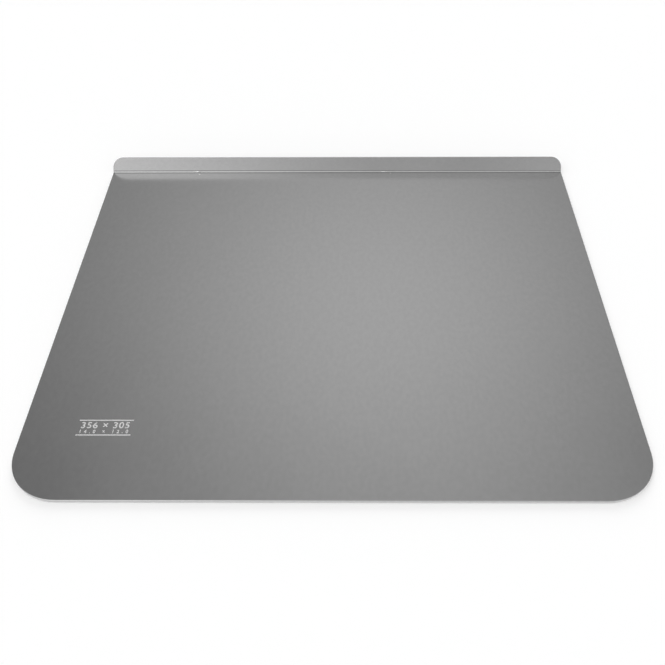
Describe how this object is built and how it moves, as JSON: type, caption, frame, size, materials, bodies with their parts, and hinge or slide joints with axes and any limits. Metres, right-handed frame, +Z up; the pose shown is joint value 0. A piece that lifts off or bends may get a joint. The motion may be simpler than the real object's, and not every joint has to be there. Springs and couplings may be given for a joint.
{
  "type": "cookie sheet",
  "caption": "Flat aluminium baking sheet with rounded front corners, its back edge folded up into a low, round-ended lip to hold it by.",
  "frame": {"origin": "on the underside, in the middle of the sheet's overall width and overall depth", "axes": "+X along the lip, to the right for someone who faces it across the sheet; +Y from the open front edge back to the lip; +Z up, out of the baking face"},
  "size_m": [0.356, 0.305, 0.0123],
  "materials": {
    "anodised_aluminium": "satin"
  },
  "bodies": {
    "root": {"baking_sheet": "anodised_aluminium"}
  },
  "joints": []
}
